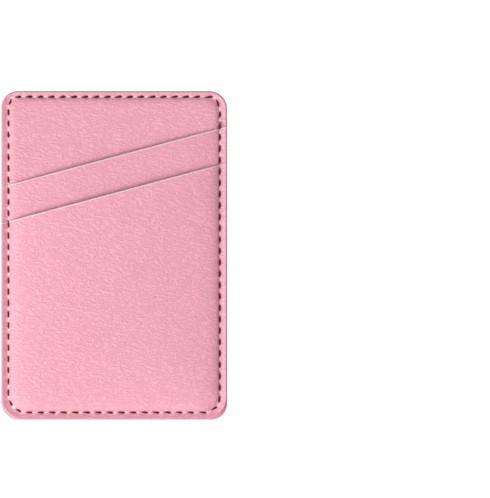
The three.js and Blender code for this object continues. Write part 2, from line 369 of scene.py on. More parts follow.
def ranged(tree, value, low, high, to_low=0.0, to_high=1.0):
    """Maps the span from low to high onto another span, and stays inside it."""
    node = new_node(tree, "ShaderNodeMapRange", clamp=True)
    tree.links.new(value, node.inputs["Value"])
    for name, number in (("From Min", low), ("From Max", high), ("To Min", to_low), ("To Max", to_high)):
        node.inputs[name].default_value = number
    return node.outputs["Result"]


def new_material(name):
    """A material with one Principled shader."""
    material = bpy.data.materials.new(name)
    material.use_nodes = True
    tree = material.node_tree
    tree.nodes.clear()
    shader = tree.nodes.new("ShaderNodeBsdfPrincipled")
    out = tree.nodes.new("ShaderNodeOutputMaterial")
    tree.links.new(shader.outputs[0], out.inputs[0])
    return material, tree, shader


def placed(tree, group, **values):
    """A shader group placed in a material, with its own values."""
    node = tree.nodes.new("ShaderNodeGroup")
    node.node_tree = group
    for name, value in values.items():
        node.inputs[name.replace("_", " ")].default_value = value
    return node


def bumped(tree, shader, height, distance_mm):
    """Gives the shader a relief: a height of 1 stands so many millimetres high."""
    bump = new_node(tree, "ShaderNodeBump", Strength=1.0, Distance=distance_mm * MM)
    tree.links.new(height, bump.inputs["Height"])
    tree.links.new(bump.outputs[0], shader.inputs["Normal"])


def grained(tree, pebble_mm, crease_mm, crease_share):
    """The grain on the object's own coordinates, and these coordinates."""
    place = tree.nodes.new("ShaderNodeTexCoord").outputs["Object"]
    grain = placed(tree, GRAIN, Pebble_mm=pebble_mm, Crease_mm=crease_mm, Crease_share=crease_share)
    tree.links.new(place, grain.inputs["Vector"])
    return grain, place


PINK = (0.785, 0.332, 0.412, 1)
PINK_SHADE = (0.665, 0.285, 0.365, 1)
# Pale spots between the stitches: stretched coat and painted highlight.
PINK_PALE = (0.93, 0.72, 0.75, 1)
# Painted shade in the crease valleys and along the seam's groove.
PINK_PAINTED_SHADE = (0.56, 0.19, 0.26, 1)
GRAIN_HEIGHT_MM = 0.165
SPECK = (0.22, 0.02, 0.03, 1)
SPECK_PIXEL = (155.5, 296.5)
SPECK_MM = 0.22


def with_speck(tree, place, colour):
    """The one dark speck on the front pocket."""
    x, y = photo_to_mm(*SPECK_PIXEL)
    flat = new_node(tree, "ShaderNodeVectorMath", operation="MULTIPLY")
    flat.inputs[1].default_value = (1, 1, 0)
    tree.links.new(place, flat.inputs[0])
    away = new_node(tree, "ShaderNodeVectorMath", operation="DISTANCE")
    tree.links.new(flat.outputs[0], away.inputs[0])
    away.inputs[1].default_value = (x * MM, y * MM, 0)
    spot = ranged(tree, away.outputs["Value"], SPECK_MM * MM, 0.6 * SPECK_MM * MM)
    return colour_mix(tree, spot, colour, SPECK)


def leather_material(name, speck=False):
    material, tree, shader = new_material(name)
    grain, place = grained(tree, 0.5, 1.3, 0.5)
    stitches = new_node(tree, "ShaderNodeUVMap", uv_map="seam")
    marks = placed(tree, SEAM_MARKS)
    tree.links.new(stitches.outputs[0], marks.inputs["Stitches"])
    tone = ranged(tree, grain.outputs["Tone"], 0.3, 0.7, 0.0, 0.30)
    lively = colour_mix(tree, tone, PINK, PINK_SHADE)
    # Painted shade: darker in the crease valleys.
    crease_shade = ranged(tree, grain.outputs["Valley"], 0.4, 1.0, 0.0, 0.38)
    crease_shaded = colour_mix(tree, crease_shade, lively, PINK_PAINTED_SHADE)
    # Painted shade: darker along the groove of the seam.
    pressed = ranged(tree, marks.outputs["Groove_shade"], 0.0, 1.0, 0.0, 0.08)
    groove_shaded = colour_mix(tree, pressed, crease_shaded, PINK_PAINTED_SHADE)
    # Pale spots between the stitches: the coat's paling where stretched, and a painted highlight.
    stretched = ranged(tree, marks.outputs["Stretch_and_highlight"], 0.2, 0.9, 0.0, 0.75)
    colour = colour_mix(tree, stretched, groove_shaded, PINK_PALE)
    if speck:
        colour = with_speck(tree, place, colour)
    tree.links.new(colour, shader.inputs["Base Color"])
    rough = ranged(tree, grain.outputs["Height"], 0.35, 0.95, 0.54, 0.40)
    tree.links.new(rough, shader.inputs["Roughness"])
    shader.inputs["Specular IOR Level"].default_value = 0.85
    bumped(tree, shader, grain.outputs["Height"], GRAIN_HEIGHT_MM)
    return material


def raw_edge_material():
    """The bevelled cut through the sheet, where the pale textile backing shows."""
    material, tree, shader = new_material("raw_edge")
    grain, _ = grained(tree, 0.25, 0.8, 0.4)
    raised = ranged(tree, grain.outputs["Height"], 0.2, 0.9)
    colour = colour_mix(tree, raised, (0.80, 0.52, 0.58, 1), (0.93, 0.72, 0.76, 1))
    tree.links.new(colour, shader.inputs["Base Color"])
    shader.inputs["Roughness"].default_value = 0.75
    bumped(tree, shader, grain.outputs["Height"], 0.03)
    return material


def painted_edge_material():
    """The outer edge, where the sheets' cut sides are sealed with a darker pink coat."""
    material, tree, shader = new_material("painted_edge")
    grain, _ = grained(tree, 0.35, 1.0, 0.6)
    tone = ranged(tree, grain.outputs["Tone"], 0.3, 0.7)
    colour = colour_mix(tree, tone, (0.67, 0.30, 0.38, 1), (0.60, 0.255, 0.33, 1))
    tree.links.new(colour, shader.inputs["Base Color"])
    shader.inputs["Roughness"].default_value = 0.5
    bumped(tree, shader, grain.outputs["Height"], 0.04)
    return material


WEAVE_MM = 0.28


def backing_material():
    """The sheet's inner side: a thin woven textile that the coat is laid on."""
    material, tree, shader = new_material("textile_backing")
    place = tree.nodes.new("ShaderNodeTexCoord")
    parts = tree.nodes.new("ShaderNodeSeparateXYZ")
    tree.links.new(place.outputs["Object"], parts.inputs[0])
    turns = 2 * math.pi / (WEAVE_MM * MM)
    warp = math_node(tree, "SINE", math_node(tree, "MULTIPLY", parts.outputs["X"], turns))
    weft = math_node(tree, "SINE", math_node(tree, "MULTIPLY", parts.outputs["Y"], turns))
    weave = ranged(tree, math_node(tree, "MULTIPLY", warp, weft), -1.0, 1.0)
    colour = colour_mix(tree, weave, (0.62, 0.36, 0.41, 1), (0.80, 0.55, 0.60, 1))
    tree.links.new(colour, shader.inputs["Base Color"])
    shader.inputs["Roughness"].default_value = 0.9
    bumped(tree, shader, weave, 0.05)
    return material


pocket_leather = leather_material("pocket_leather", speck=True)
panel_leather = leather_material("panel_leather")
raw_edge = raw_edge_material()
painted_edge = painted_edge_material()
textile_backing = backing_material()
print("leather materials:", pocket_leather.name, panel_leather.name, raw_edge.name, painted_edge.name)


# %% [markdown]
# ## The outlines that every sheet follows
# A sheet is built from closed rings that run round it, one inside the other: its outer edge,
# the seam, the foot where the raised field starts, and so on inwards. Every ring has the
# same number of points in the same order, so two neighbouring rings join into clean quads
# and the grid always follows the seam.

# %% Rings
SIDE_STEPS = 200
END_STEPS = 130
CORNER_STEPS = 20

SEAM_SIDE, SEAM_TOP, SEAM_BOTTOM = 2.15, 1.7, 2.2
FIELD_GAP = 0.4

# Corner radii in mm: lower right, upper right, upper left, lower left. Soft hand-cut corners differ.
BACK_RADII = (4.7, 5.2, 4.7, 5.2)
FRONT_RADII = (6.4, 5.1, 4.6, 6.0)
SEAM_RADII = (3.6, 2.2, 1.7, 4.6)
FIELD_RADII = (5.0, 3.8, 3.4, 5.6)


def node_edge(node, radii):
    """The outline of a frame's node as (side, bottom, top, radii) in mm."""
    low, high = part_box(node)
    return high[0] / MM, low[1] / MM, high[1] / MM, radii


def inset(edge, gap, radii=None):
    """The same outline, a gap further inwards."""
    side, bottom, top, old_radii = edge
    return side - gap, bottom + gap, top - gap, radii or old_radii


def ring(edge):
    """The outline as points, counterclockwise from the lower end of the right side."""
    side, bottom, top, (rbr, rtr, rtl, rbl) = edge
    stops = [
        (side - rtr, top - rtr, rtr, 0, SIDE_STEPS, (side, bottom + rbr), (side, top - rtr)),
        (-side + rtl, top - rtl, rtl, 90, END_STEPS, (side - rtr, top), (-side + rtl, top)),
        (-side + rbl, bottom + rbl, rbl, 180, SIDE_STEPS, (-side, top - rtl), (-side, bottom + rbl)),
        (side - rbr, bottom + rbr, rbr, 270, END_STEPS, (-side + rbl, bottom), (side - rbr, bottom)),
    ]
    points = []
    for cx, cy, radius, start, steps, run_from, run_to in stops:
        share = np.arange(steps)[:, None] / steps
        points.append(np.array(run_from) * (1 - share) + np.array(run_to) * share)
        angle = np.radians(start + 90 * np.arange(CORNER_STEPS) / CORNER_STEPS)
        points.append(np.column_stack((cx + radius * np.cos(angle), cy + radius * np.sin(angle))))
    return np.concatenate(points)


back_edge = node_edge("back_panel", BACK_RADII)
front_edge = node_edge("top_panel", FRONT_RADII)
seam_edge = (back_edge[0] - SEAM_SIDE, back_edge[1] + SEAM_BOTTOM, back_edge[2] - SEAM_TOP, SEAM_RADII)
field_edge = inset(seam_edge, FIELD_GAP, FIELD_RADII)
seam_ring = ring(seam_edge)
seam_steps = np.linalg.norm(np.roll(seam_ring, -1, axis=0) - seam_ring, axis=1)
seam_length = seam_steps.sum()
print("points round:", len(seam_ring), "seam length:", round(seam_length, 1), "mm")

# %% Stitches counted along the seam
# Middles of stitches in the photograph, with their number, going round from the lower right.
STITCH_PIXELS = (
    (0, (219.4, 398.3)),
    (26, (218.4, 102.9)),
    (27, (207.8, 97.3)),
    (44, (17.8, 97.3)),
    (45, (8.9, 100.5)),
    (71, (8.6, 391.9)),
    (74, (28.3, 411.5)),
    (89, (202.0, 411.5)),
)
STITCH_COUNT = 91

run = np.concatenate(([0], np.cumsum(seam_steps)))
known_run, known_number = [], []
for number, pixel in STITCH_PIXELS:
    away = np.linalg.norm(seam_ring - np.array(photo_to_mm(*pixel)), axis=1)
    known_run.append(run[int(np.argmin(away))])
    known_number.append(number + 0.5)
known_run = [known_run[-1] - seam_length] + known_run + [known_run[0] + seam_length]
known_number = [known_number[-1] - STITCH_COUNT] + known_number + [known_number[0] + STITCH_COUNT]
stitch_number = np.interp(run, known_run, known_number)
print(STITCH_COUNT, "stitches of about", round(seam_length / STITCH_COUNT, 2), "mm")


# %% [markdown]
# ## The shape of a sewn sheet
# Seen in section from its outer edge inwards, a sheet rolls over, crowns a little, dips
# into the groove that the stitches press, and then swells up like a pillow: steeply at
# first and ever more gently towards the middle. Both pockets follow one formula, so they
# nest without cutting into each other, because the one above always swells more.

# %% Section of a sheet
LEATHER = (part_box("rear_pocket")[0][2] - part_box("top_panel")[0][2]) / MM
EDGE_ROLL = 0.22
EDGE_DROP = 0.12
BORDER_CROWN = 0.16
CROWN_END = 0.8  # share of the way to the seam at which the crown has died out
GROOVE_STEP = 0.11  # each sheet is pressed this much deeper than the one behind it
GROOVE_BEHIND = 0.06
GROOVE_WIDTH = 0.36
PUCKER = 0.055
PUCKER_REACH = 0.9
SWELL_START = 0.2  # distance from the seam at which a sheet starts to rise
PILLOW_STEEP = 1.0
PILLOW_LONG = 10.0
PILLOW_LONG_SHARE = 0.62
MOUTH_SAG = 0.2  # share of a pocket's height that is lost far below its mouth
SAG_LENGTH = 12.0
BOARD_BEND = 0.85
BOARD_ROUNDNESS = 1.5


def smooth_step(x):
    """An even S from 0 to 1."""
    x = np.clip(x, 0, 1)
    return x * x * (3 - 2 * x)


def rolled(distance):
    """How far the upper face has dropped, near an edge, below where it would be."""
    x = np.clip(1 - distance / EDGE_ROLL, 0, 1)
    return EDGE_DROP * (1 - np.sqrt(1 - x * x))


def crown(share):
    """The border's crown, by the share of the way from the front sheets' outline to the seam."""
    return BORDER_CROWN * (1 - smooth_step(share / CROWN_END))


def outer_groove(share):
    """Share of the groove's depth on its outer side: none at the edge, all at the seam."""
    return 0.5 * share + 0.5 * smooth_step(share)


def pillow(distance):
    """Share of a pocket's rise at a distance inwards from the seam."""
    x = np.maximum(distance - SWELL_START, 0)
    steep = (1 - PILLOW_LONG_SHARE) * (1 - np.exp(-x / PILLOW_STEEP))
    return steep + PILLOW_LONG_SHARE * (1 - np.exp(-x / PILLOW_LONG))


def over_board(distance):
    """Share of the rise where the sheet bends up over the edge of the board."""
    x = np.maximum(distance - SWELL_START, 0)
    return 1 - np.exp(-((x / BOARD_BEND) ** BOARD_ROUNDNESS))


def lying_flat(distance):
    """The back panel doesn't rise at any distance."""
    return 0.0


def inner_groove(distance):
    """Share of the groove's depth on its inner side."""
    return np.exp(-((distance / GROOVE_WIDTH) ** 2))


def pucker(stitches, from_seam):
    """The leather is pressed down under each stitch and stands up at each needle hole."""
    return PUCKER * np.cos(2 * np.pi * stitches) * np.exp(-((from_seam / PUCKER_REACH) ** 2))


print("leather", round(LEATHER, 2), "mm thick")

# %% Depth of the groove
SHEETS_UP = ("back_panel", "top_panel", "rear_pocket", "front_pocket")


def groove_of(node):
    """How deep the stitches press a sheet, in mm. The front ones give way the most."""
    return GROOVE_BEHIND + GROOVE_STEP * (1 + SHEETS_UP.index(node))


print("groove depths", [round(groove_of(node), 2) for node in SHEETS_UP])

# %% Grid of a sheet
BORDER_SHARES = (0.0, 0.03, 0.07, 0.12, 0.18, 0.26, 0.36, 0.48, 0.6, 0.72, 0.84, 0.93, 1.0)
RIM_SHARES = (0.0, 0.06, 0.14, 0.26, 0.42, 0.7)
INWARD = (0.1, 0.2, 0.3, 0.4, 0.52, 0.66, 0.84, 1.05, 1.3, 1.6, 1.95, 2.4, 3.0, 3.8, 4.8, 6.2, 8.2, 11.0)
TO_SPINE = (0.15, 0.32, 0.5, 0.68, 0.85, 1.0)
ON_THE_RIM = -9.0  # the rim's rows count as this far outside the seam
SAME_PLACE = 0.01
MERGE_DISTANCE = 1e-4


def sheet_rows(edge, rise, swell, groove):
    """Rows of the grid from the outer edge to the middle line of the sheet. Each is its
    points, the height of the upper face, that of the lower face, and the distance from
    the seam (negative outside it)."""
    rows = []
    groove_below = groove - GROOVE_STEP
    outer, front = ring(edge), ring(front_edge)
    stitches = stitch_number[:-1]
    rim = np.linalg.norm(outer - front, axis=1)
    if rim.max() > SAME_PLACE:
        for share in RIM_SHARES:
            points = outer * (1 - share) + front * share
            flat = np.zeros(len(points))
            rows.append((points, flat - rolled(rim * share), flat, ON_THE_RIM))
    width = np.linalg.norm(front - seam_ring, axis=1)
    for share in BORDER_SHARES:
        points = front * (1 - share) + seam_ring * share
        even = crown(share) + pucker(stitches, width * (1 - share))
        drop = rolled(rim + width * share)
        upper = even - groove * outer_groove(share) - drop
        lower = even - groove_below * outer_groove(share)
        rows.append((points, upper, lower, -width.mean() * (1 - share)))
    field = ring(field_edge)
    for distance in INWARD:
        if distance < FIELD_GAP:
            share = distance / FIELD_GAP
            points = seam_ring * (1 - share) + field * share
        else:
            points = ring(inset(field_edge, distance - FIELD_GAP))
        even = rise * swell(distance) + pucker(stitches, distance)
        upper = even - groove * inner_groove(distance)
        lower = even - groove_below * inner_groove(distance)
        rows.append((points, upper, lower, distance))
    last, deepest = rows[-1][0], INWARD[-1]
    half_width, half_height = np.abs(last).max(axis=0)
    spine_end = half_height - half_width
    spine = np.column_stack((np.zeros(len(last)), np.clip(last[:, 1], -spine_end, spine_end)))
    for share in TO_SPINE:
        points = last * (1 - share) + spine * share
        distance = deepest + share * half_width
        height = np.full(len(points), rise * swell(distance))
        rows.append((points, height, height, distance))
    return rows


def sheet_surface(rows, margin_z, mouth):
    """The upper face as a bmesh in millimetres. Each vertex also remembers the height of
    the lower face, and the UV map counts stitches along and millimetres across the seam."""
    count = len(rows[0][0])
    points = np.concatenate([r[0] for r in rows])
    top = np.concatenate([r[1] for r in rows]) + margin_z + LEATHER
    under = np.concatenate([r[2] for r in rows]) + margin_z
    if mouth:
        from_seam = np.concatenate([np.full(count, r[3]) for r in rows])
        below_mouth = np.maximum(mouth_distance(points.T, mouth), 0)
        sag = MOUTH_SAG * (1 - np.exp(-below_mouth / SAG_LENGTH))
        sunk = sag * np.maximum(top - margin_z - LEATHER, 0) * (from_seam > 0)
        top, under = top - sunk, under - sunk
    bm = bmesh.new()
    remembered = bm.verts.layers.float.new("under")
    seam_uv = bm.loops.layers.uv.new("seam")
    verts = []
    for (x, y), z, low in zip(points, top, under):
        vert = bm.verts.new((x, y, z))
        vert[remembered] = low
        verts.append(vert)
    for i in range(len(rows) - 1):
        for j in range(count):
            k = (j + 1) % count
            corners = ((i, j, j), (i, k, j + 1), (i + 1, k, j + 1), (i + 1, j, j))
            face = bm.faces.new([verts[row * count + column] for row, column, _ in corners])
            for loop, (row, _, column) in zip(face.loops, corners):
                loop[seam_uv].uv = (stitch_number[column], rows[row][3])
    bmesh.ops.remove_doubles(bm, verts=verts[-count:], dist=MERGE_DISTANCE)
    return bm


MOUTH_ANGLE = math.radians(15)
REAR_MOUTH, FRONT_MOUTH = 76.9, 66.3  # height at the holder's middle, from its lower edge
BEVEL = ((0.38, 0.0), (0.28, 0.015), (0.17, 0.06), (0.08, 0.14), (0.0, 0.27))  # distance and drop
PAINTED_RIM = 0.5  # width of the edge coat on the upper face, in mm
FAR_FROM_SEAM = 50.0  # faces with no stitches get this distance in the seam's UV map
SHARP_ANGLE = math.radians(50)


def mouth_distance(point, height):
    """How far a point lies below a pocket's cut edge, in the plane of the sheet."""
    start_y = back_edge[1] + height
    return (start_y - point[1]) * math.cos(MOUTH_ANGLE) + point[0] * math.sin(MOUTH_ANGLE)


def cut_mouth(bm, height):
    """Cuts the sheet along its slanted mouth, with extra rows of vertices for the bevel."""
    normal = (-math.sin(MOUTH_ANGLE), math.cos(MOUTH_ANGLE), 0)
    for distance, _ in BEVEL:
        bmesh.ops.bisect_plane(
            bm,
            geom=bm.verts[:] + bm.edges[:] + bm.faces[:],
            dist=MERGE_DISTANCE,
            plane_co=(0, back_edge[1] + height - distance / math.cos(MOUTH_ANGLE), 0),
            plane_no=normal,
            clear_outer=distance == 0.0,
        )
    distances, drops = zip(*sorted(BEVEL))
    for vert in bm.verts:
        vert.co.z -= float(np.interp(mouth_distance(vert.co, height), distances, drops))


def outside_distance(point):
    """How far a point lies inside the back panel's outline, its round corners included."""
    side, bottom, top, (rbr, rtr, rtl, rbl) = back_edge
    right, upper = point[0] > 0, point[1] > 0
    radius = (rtr if right else rtl) if upper else (rbr if right else rbl)
    to_side = side - abs(point[0])
    to_end = top - point[1] if upper else point[1] - bottom
    if to_side < radius and to_end < radius:
        return radius - math.hypot(radius - to_side, radius - to_end)
    return min(to_side, to_end)


def sheet_object(name, bm, mouth, materials):
    """Gives the surface its thickness: the lower face, and the walls at every open edge."""
    leather, cut, backing, painted = range(4)
    bm.verts.index_update()
    remembered = bm.verts.layers.float["under"]
    seam_uv = bm.loops.layers.uv["seam"]
    count = len(bm.verts)
    points = [tuple(v.co) for v in bm.verts] + [(v.co.x, v.co.y, v[remembered]) for v in bm.verts]
    faces, uvs, slots = [], [], []
    for face in bm.faces:
        around = [loop.vert.index for loop in face.loops]
        faces.append(around)
        uvs.append([tuple(loop[seam_uv].uv) for loop in face.loops])
        middle = face.calc_center_median()
        if mouth and mouth_distance(middle, mouth) < BEVEL[0][0]:
            slots.append(cut)
        else:
            slots.append(painted if outside_distance(middle) < PAINTED_RIM else leather)
        faces.append([i + count for i in reversed(around)])
        uvs.append([(0.0, FAR_FROM_SEAM)] * len(around))
        slots.append(backing)
        for loop in face.loops:
            if loop.edge.is_boundary:
                a, b = loop.vert.index, loop.link_loop_next.vert.index
                faces.append([a, a + count, b + count, b])
                uvs.append([(0.0, FAR_FROM_SEAM)] * 4)
                between = loop.vert.co.lerp(loop.link_loop_next.vert.co, 0.5)
                at_mouth = mouth and mouth_distance(between, mouth) < SAME_PLACE
                slots.append(cut if at_mouth else painted)
    mesh = bpy.data.meshes.new(name)
    mesh.from_pydata((np.array(points) * MM).tolist(), [], faces)
    layer = mesh.uv_layers.new(name="seam")
    layer.data.foreach_set("uv", np.array([c for face in uvs for c in face]).ravel())
    mesh.polygons.foreach_set("material_index", slots)
    mesh.polygons.foreach_set("use_smooth", [True] * len(faces))
    for material in materials:
        mesh.materials.append(material)
    mesh.validate()
    mesh.set_sharp_from_angle(angle=SHARP_ANGLE)
    bm.free()
    made = bpy.data.objects.new(name, mesh)
    bpy.context.collection.objects.link(made)
    print(name, "has", sum(len(f) - 2 for f in faces), "triangles")
    return made


def sewn_sheet(node, edge, swell, leather, mouth=None):
    """One leather sheet in the place of its frame node."""
    low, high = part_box(node)
    margin_z = low[2] / MM
    rise = max(0.0, (high[2] - low[2]) / MM - LEATHER)
    bm = sheet_surface(sheet_rows(edge, rise, swell, groove_of(node)), margin_z, mouth)
    if mouth:
        cut_mouth(bm, mouth)
    finishes = (leather, raw_edge, textile_backing, painted_edge)
    made = sheet_object(node + "_sheet", bm, mouth, finishes)
    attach(made, "root")
    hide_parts(node)


# %% [markdown]
# ## The four leather sheets
# From the back: the full-size back panel, the panel behind the first pocket, and the two
# pockets. Each takes the place of its node in the frame, and rides on the same body.

# %% Back panel, top panel and pockets
sewn_sheet("back_panel", back_edge, lying_flat, panel_leather)
sewn_sheet("top_panel", front_edge, over_board, panel_leather)
sewn_sheet("rear_pocket", front_edge, pillow, panel_leather, REAR_MOUTH)
sewn_sheet("front_pocket", front_edge, pillow, pocket_leather, FRONT_MOUTH)


# %% [markdown]
# ## The stitches
# A lockstitch shows as one short length of thread after another, each diving into the
# leather at a needle hole. All of them have one shape, so a Geometry Nodes tree makes one
# stitch and places it on a point for every stitch. The thread has three strands twisted
# together: its section is a three-lobed ring, swept along an arched line that turns as it
# goes. The stitch is thin where it leaves the last hole and full where it dives again.

# %% Helpers for a Geometry Nodes tree
def geometry_tree(name, inputs):
    """An empty Geometry Nodes tree with its inputs: name, type and default value."""
    tree = bpy.data.node_groups.new(name, "GeometryNodeTree")
    tree.interface.new_socket("Geometry", in_out="INPUT", socket_type="NodeSocketGeometry")
    for socket, kind, default in inputs:
        made = tree.interface.new_socket(socket, in_out="INPUT", socket_type=kind)
        if default is not None:
            made.default_value = default
    tree.interface.new_socket("Geometry", in_out="OUTPUT", socket_type="NodeSocketGeometry")
    return tree, tree.nodes.new("NodeGroupInput"), tree.nodes.new("NodeGroupOutput")


def set_input(modifier, name, value):
    """Sets one named input of a Geometry Nodes modifier, through the socket's identifier."""
    for item in modifier.node_group.interface.items_tree:
        if item.item_type == "SOCKET" and item.in_out == "INPUT" and item.name == name:
            modifier[item.identifier] = value
            return
    raise KeyError(name)


def vector_of(tree, x, y, z):
    """A vector whose parts are output sockets or numbers."""
    node = tree.nodes.new("ShaderNodeCombineXYZ")
    for socket, value in zip(node.inputs, (x, y, z)):
        if isinstance(value, (int, float)):
            socket.default_value = value
        else:
            tree.links.new(value, socket)
    return node.outputs[0]


def attribute(tree, name, kind):
    """An attribute of the points, by its name."""
    node = new_node(tree, "GeometryNodeInputNamedAttribute", data_type=kind)
    node.inputs["Name"].default_value = name
    return node.outputs["Attribute"]


# %% Tree: a row of stitches
FULLNESS_ENDS = ((0.0, 0.16), (1.0, 0.75))  # share of the stitch's length and of the thread
FULLNESS_BETWEEN = ((0.25, 0.45), (0.5, 0.82), (0.72, 1.0), (0.88, 0.95))
STRANDS = 3.0
STRAND_SWELL = 0.16
STRAND_CORE = 0.9


def stitch_row_tree():
    tree, given, result = geometry_tree(
        "stitch_row",
        [
            ("Thread", FLOAT, 0.0005),
            ("Length", FLOAT, 0.0024),
            ("Arch", FLOAT, 0.0002),
            ("Dive", FLOAT, 0.0004),
            ("Turns", FLOAT, 0.9),
            ("Unevenness", FLOAT, 0.08),
            ("Seed", "NodeSocketInt", 1),
            ("Material", "NodeSocketMaterial", None),
        ],
    )
    link = tree.links.new
    half = math_node(tree, "MULTIPLY", given.outputs["Length"], 0.5)
    low = math_node(tree, "MULTIPLY", given.outputs["Dive"], -1.0)
    # A quadratic curve reaches half of its middle point's height above its ends.
    high = math_node(tree, "MULTIPLY_ADD", given.outputs["Arch"], 2.0, given.outputs["Dive"])
    arch = new_node(tree, "GeometryNodeCurveQuadraticBezier", Resolution=14)
    link(vector_of(tree, math_node(tree, "MULTIPLY", half, -1.0), 0.0, low), arch.inputs["Start"])
    link(vector_of(tree, 0.0, 0.0, high), arch.inputs["Middle"])
    link(vector_of(tree, half, 0.0, low), arch.inputs["End"])
    share = tree.nodes.new("GeometryNodeSplineParameter").outputs["Factor"]
    fullness = tree.nodes.new("ShaderNodeFloatCurve")
    link(share, fullness.inputs["Value"])
    curve = fullness.mapping.curves[0]
    for point, place in zip(curve.points, FULLNESS_ENDS):
        point.location = place
    for place in FULLNESS_BETWEEN:
        curve.points.new(*place)
    fullness.mapping.update()
    half_thread = math_node(tree, "MULTIPLY", given.outputs["Thread"], 0.5)
    radius = math_node(tree, "MULTIPLY", half_thread, fullness.outputs[0])
    turned = math_node(tree, "MULTIPLY", share, given.outputs["Turns"])
    twist = math_node(tree, "MULTIPLY", turned, 2 * math.pi)
    tilted = tree.nodes.new("GeometryNodeSetCurveTilt")
    link(arch.outputs[0], tilted.inputs["Curve"])
    link(twist, tilted.inputs["Tilt"])
    # The section: a circle whose radius swells once for each strand.
    circle = new_node(tree, "GeometryNodeCurvePrimitiveCircle", Resolution=12, Radius=1.0)
    where = tree.nodes.new("GeometryNodeInputPosition")
    parts = tree.nodes.new("ShaderNodeSeparateXYZ")
    link(where.outputs[0], parts.inputs[0])
    angle = math_node(tree, "ARCTAN2", parts.outputs["Y"], parts.outputs["X"])
    lobes = math_node(tree, "COSINE", math_node(tree, "MULTIPLY", angle, STRANDS))
    grown = math_node(tree, "MULTIPLY_ADD", lobes, STRAND_SWELL, STRAND_CORE)
    scaled = new_node(tree, "ShaderNodeVectorMath", operation="SCALE")
    link(where.outputs[0], scaled.inputs[0])
    link(grown, scaled.inputs["Scale"])
    section = tree.nodes.new("GeometryNodeSetPosition")
    link(circle.outputs[0], section.inputs["Geometry"])
    link(scaled.outputs[0], section.inputs["Position"])
    swept = new_node(tree, "GeometryNodeCurveToMesh")
    swept.inputs["Fill Caps"].default_value = True
    link(tilted.outputs[0], swept.inputs["Curve"])
    link(section.outputs[0], swept.inputs["Profile Curve"])
    link(radius, swept.inputs["Scale"])
    # One stitch on every point, lying along the seam, leaning a little and not quite alike.
    aim = new_node(tree, "FunctionNodeAlignRotationToVector", axis="X")
    link(attribute(tree, "along", "FLOAT_VECTOR"), aim.inputs["Vector"])
    unlike = new_node(tree, "FunctionNodeRandomValue", data_type="FLOAT")
    link(math_node(tree, "SUBTRACT", 1.0, given.outputs["Unevenness"]), unlike.inputs[2])
    link(math_node(tree, "ADD", 1.0, given.outputs["Unevenness"]), unlike.inputs[3])
    link(given.outputs["Seed"], unlike.inputs["Seed"])
    sized = math_node(tree, "MULTIPLY", unlike.outputs[1], attribute(tree, "size", "FLOAT"))
    dots = tree.nodes.new("GeometryNodeMeshToPoints")
    link(given.outputs["Geometry"], dots.inputs["Mesh"])
    placed_stitches = tree.nodes.new("GeometryNodeInstanceOnPoints")
    link(dots.outputs[0], placed_stitches.inputs["Points"])
    link(swept.outputs[0], placed_stitches.inputs["Instance"])
    link(aim.outputs[0], placed_stitches.inputs["Rotation"])
    link(vector_of(tree, sized, 1.0, 1.0), placed_stitches.inputs["Scale"])
    realized = tree.nodes.new("GeometryNodeRealizeInstances")
    painted = tree.nodes.new("GeometryNodeSetMaterial")
    link(placed_stitches.outputs[0], realized.inputs[0])
    link(realized.outputs[0], painted.inputs["Geometry"])
    link(given.outputs["Material"], painted.inputs["Material"])
    link(painted.outputs[0], result.inputs["Geometry"])
    return tree


STITCH_ROW = stitch_row_tree()
print("tree", STITCH_ROW.name, "with", len(STITCH_ROW.nodes), "nodes")


# %% [markdown]
# ## Thread
# The thread is maroon polyester: dull, with a faint shine on its strands. A very fine noise
# breaks up its colour like fibres.

# %% Material: sewing thread
def thread_material(name, dark, light):
    material, tree, shader = new_material(name)
    place = tree.nodes.new("ShaderNodeTexCoord")
    fibres = new_node(tree, "ShaderNodeTexNoise", Scale=9000.0, Detail=2.0)
    tree.links.new(place.outputs["Object"], fibres.inputs["Vector"])
    colour = colour_mix(tree, ranged(tree, fibres.outputs["Fac"], 0.3, 0.7), dark, light)
    tree.links.new(colour, shader.inputs["Base Color"])
    shader.inputs["Roughness"].default_value = 0.7
    shader.inputs["Specular IOR Level"].default_value = 0.25
    bumped(tree, shader, fibres.outputs["Fac"], 0.02)
    return material


thread_maroon = thread_material("thread_maroon", (0.055, 0.003, 0.008, 1), (0.14, 0.009, 0.022, 1))

# %% Where every stitch lies
THREAD = 0.68
STITCH_SHOWS = 0.54  # share of the pitch over which the thread shows
STITCH_HIDDEN = 0.5  # length of it that is sunk in the leather
STITCH_ARCH = 0.12
STITCH_DIVE = 0.35
ABOVE_FACE = 0.2  # height of its middle over the leather, as a share of the thread
BRIDGE_REACH = 0.8  # how far round it a stitch feels the step of a mouth
LEAN = math.radians(6)
TOWARDS_SHADE = np.array((1.0, -1.0))  # the full end of a stitch points this way
TOWARDS_LOWER_LEFT = np.array((-1.0, -1.0))


def points_at(numbers):
    """Places on the seam by stitch number, wrapping round at the end."""
    low, high = stitch_number[0], stitch_number[-1]
    wrapped = (np.asarray(numbers) - low) % (high - low) + low
    closed = np.vstack((seam_ring, seam_ring[:1]))
    return np.column_stack([np.interp(wrapped, stitch_number, closed[:, i]) for i in (0, 1)])


def seam_floor(x, y):
    """Height of the leather along the seam: it steps up at each pocket's mouth."""
    step = 1 + sum(mouth_distance((x, y), height) > 0 for height in (REAR_MOUTH, FRONT_MOUTH))
    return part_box("top_panel")[0][2] / MM + LEATHER * step - groove_of(SHEETS_UP[step])


